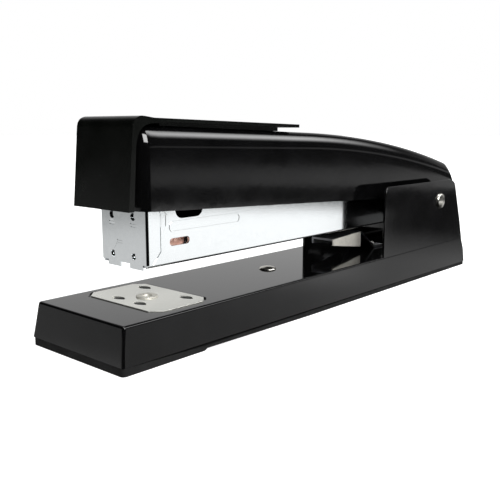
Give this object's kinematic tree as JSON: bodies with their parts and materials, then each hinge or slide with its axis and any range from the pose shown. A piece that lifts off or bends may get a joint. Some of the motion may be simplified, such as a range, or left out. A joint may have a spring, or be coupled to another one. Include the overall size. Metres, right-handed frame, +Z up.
{
  "type": "desk stapler",
  "caption": "Full-strip desk stapler: long steel base with a turning anvil, bright magazine and black domed handle on one rear hinge pin.",
  "frame": {"origin": "centre of the base's footprint on the desk", "axes": "+Z up; the nose, where the staple leaves, faces -Y; the hinge pin lies along X near the +Y end; +X is the stapler's left side"},
  "size_m": [0.0412, 0.19, 0.0629],
  "materials": {
    "black_enamel": "glossy stoved enamel",
    "matt_black": "satin black paint",
    "rubber_sole": "matt",
    "zinc": "bright zinc plate",
    "nickel": "satin nickel plate",
    "copper": "copper plate",
    "spring_steel": "oiled",
    "dark_steel": "blued"
  },
  "bodies": {
    "base": {"base_shell": "black_enamel", "base_pad": "rubber_sole", "anvil_spring": "spring_steel", "base_rivet": "nickel", "lift_spring": "nickel", "lift_spring_rivet": "nickel", "hinge_pin": "nickel", "cheek_spacer_left": "spring_steel", "cheek_spacer_right": "spring_steel"},
    "anvil_lifter": {"anvil_button": "spring_steel"},
    "anvil": {"anvil_plate": "nickel", "anvil_post": "nickel"},
    "magazine": {"magazine_sheath": "zinc", "nose_plate": "zinc", "staple_channel": "dark_steel", "staple_rail": "spring_steel", "guide_rod": "spring_steel", "spring_seat": "spring_steel", "hinge_bush": "spring_steel", "return_spring": "spring_steel", "pusher_spring": "spring_steel", "ear_washer_left": "spring_steel", "ear_washer_right": "spring_steel"},
    "follower": {"pusher": "copper"},
    "handle": {"handle_shell": "black_enamel", "nose_cap": "matt_black", "strap_spacer": "matt_black", "strap_rivet_front": "matt_black", "strap_rivet_rear": "matt_black", "driver": "dark_steel", "driver_spring": "spring_steel"}
  },
  "joints": [
    {"name": "magazine_hinge", "type": "hinge", "parent": "base", "child": "magazine", "pos_m": [0, 0.0709, 0.03], "axis": [-1, 0, 0], "range_deg": [-2.95, 95]},
    {"name": "handle_hinge", "type": "hinge", "parent": "magazine", "child": "handle", "pos_m": [0, 0.0709, 0.03], "axis": [-1, 0, 0], "range_deg": [-2.9, 60], "deforming": ["return_spring"]},
    {"name": "pusher_slide", "type": "slide", "parent": "magazine", "child": "follower", "axis": [0, 1, 0], "range_m": [0, 0.104], "stiffness_N_per_m": 30, "springref_m": -0.03, "deforming": ["pusher_spring"]},
    {"name": "anvil_lift", "type": "slide", "parent": "base", "child": "anvil_lifter", "axis": [0, 0, 1], "range_m": [0, 0.001], "stiffness_N_per_m": 1500, "springref_m": -0.001, "deforming": ["anvil_spring"]},
    {"name": "anvil_turn", "type": "hinge", "parent": "anvil_lifter", "child": "anvil", "pos_m": [0, -0.0702, 0.0127], "axis": [0, 0, 1], "range_deg": [0, 180]}
  ]
}
